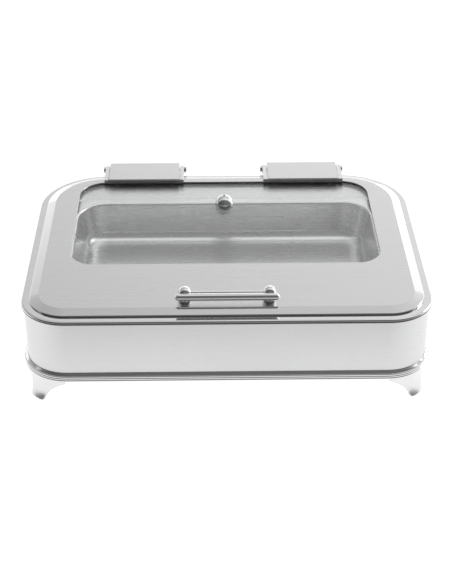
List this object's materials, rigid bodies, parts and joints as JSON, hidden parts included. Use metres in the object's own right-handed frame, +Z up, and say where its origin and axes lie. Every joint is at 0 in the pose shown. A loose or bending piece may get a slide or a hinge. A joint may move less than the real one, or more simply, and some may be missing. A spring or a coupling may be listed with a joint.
{
  "type": "chafing dish food warmer",
  "caption": "Rectangular steel chafing dish on short cabriole feet, with a flat hinged lid, glass window, steam knob, bar handle and electric heating under a food pan.",
  "frame": {"origin": "on the floor, under the middle of the bounding box", "axes": "+X to the right seen from the front, +Y to the rear where the hinges are, +Z up"},
  "size_m": [0.6416, 0.5088, 0.185],
  "materials": {
    "brushed_steel": "fine brushed, satin",
    "polished_steel": "mirror polished",
    "satin_steel": "satin",
    "pan_steel": "bright drawn",
    "aluminium": "plain",
    "glass": "clear tempered",
    "silicone": "translucent white",
    "rubber": "matt",
    "black_plastic": "fine texture",
    "lamp": "clear amber",
    "ceramic": "unglazed"
  },
  "bodies": {
    "base": {"body_shell": "brushed_steel", "plinth_band": "polished_steel", "base_plate": "satin_steel", "foot_front_left": "satin_steel", "foot_front_right": "satin_steel", "foot_rear_left": "satin_steel", "foot_rear_right": "satin_steel", "foot_pad_front_left": "rubber", "foot_pad_front_right": "rubber", "foot_pad_rear_left": "rubber", "foot_pad_rear_right": "rubber", "foot_screw_front_left": "satin_steel", "foot_screw_front_right": "satin_steel", "foot_screw_rear_left": "satin_steel", "foot_screw_rear_right": "satin_steel", "water_pan": "pan_steel", "heater_plate": "aluminium", "heating_element": "pan_steel", "terminal_block": "ceramic", "thermostat_bulb": "pan_steel", "control_plate": "brushed_steel", "control_box": "satin_steel", "thermostat_body": "black_plastic", "indicator_lamp": "lamp", "switch_frame": "black_plastic", "power_inlet": "black_plastic", "hinge_bracket_left": "satin_steel", "hinge_bracket_right": "satin_steel", "hinge_damper_left": "satin_steel", "hinge_damper_right": "satin_steel"},
    "food_pan": {"food_pan": "pan_steel"},
    "lid": {"lid_shell": "brushed_steel", "lid_gasket": "silicone", "window_seal": "silicone", "window_glass": "glass", "vent_knob": "polished_steel", "vent_washer": "silicone", "vent_nut": "satin_steel", "handle_bar": "polished_steel", "handle_tie_rod": "polished_steel", "handle_post_left": "polished_steel", "handle_post_right": "polished_steel", "handle_screw_left": "satin_steel", "handle_screw_right": "satin_steel", "hinge_yoke_left": "satin_steel", "hinge_yoke_right": "satin_steel", "hinge_pin_left": "polished_steel", "hinge_pin_right": "polished_steel", "hinge_cover_left": "brushed_steel", "hinge_cover_right": "brushed_steel", "hinge_nut_1": "polished_steel", "hinge_nut_2": "polished_steel", "hinge_nut_3": "polished_steel", "hinge_nut_4": "polished_steel"},
    "thermostat_knob": {"thermostat_knob": "black_plastic"},
    "switch_rocker": {"switch_rocker": "black_plastic"}
  },
  "joints": [
    {"name": "lid_hinge", "type": "hinge", "parent": "base", "child": "lid", "pos_m": [0, 0.2459, 0.1572], "axis": [-1, 0, 0], "range_deg": [0, 90]},
    {"name": "food_pan_lift", "type": "slide", "parent": "base", "child": "food_pan", "axis": [0, 0, 1], "range_m": [0, 0.005]},
    {"name": "thermostat_turn", "type": "hinge", "parent": "base", "child": "thermostat_knob", "pos_m": [0.038, 0.2294, 0.098], "axis": [0, -1, 0], "range_deg": [0, 270]},
    {"name": "switch_rock", "type": "hinge", "parent": "base", "child": "switch_rocker", "pos_m": [-0.008, 0.2287, 0.098], "axis": [1, 0, 0], "range_deg": [0, 16]}
  ]
}
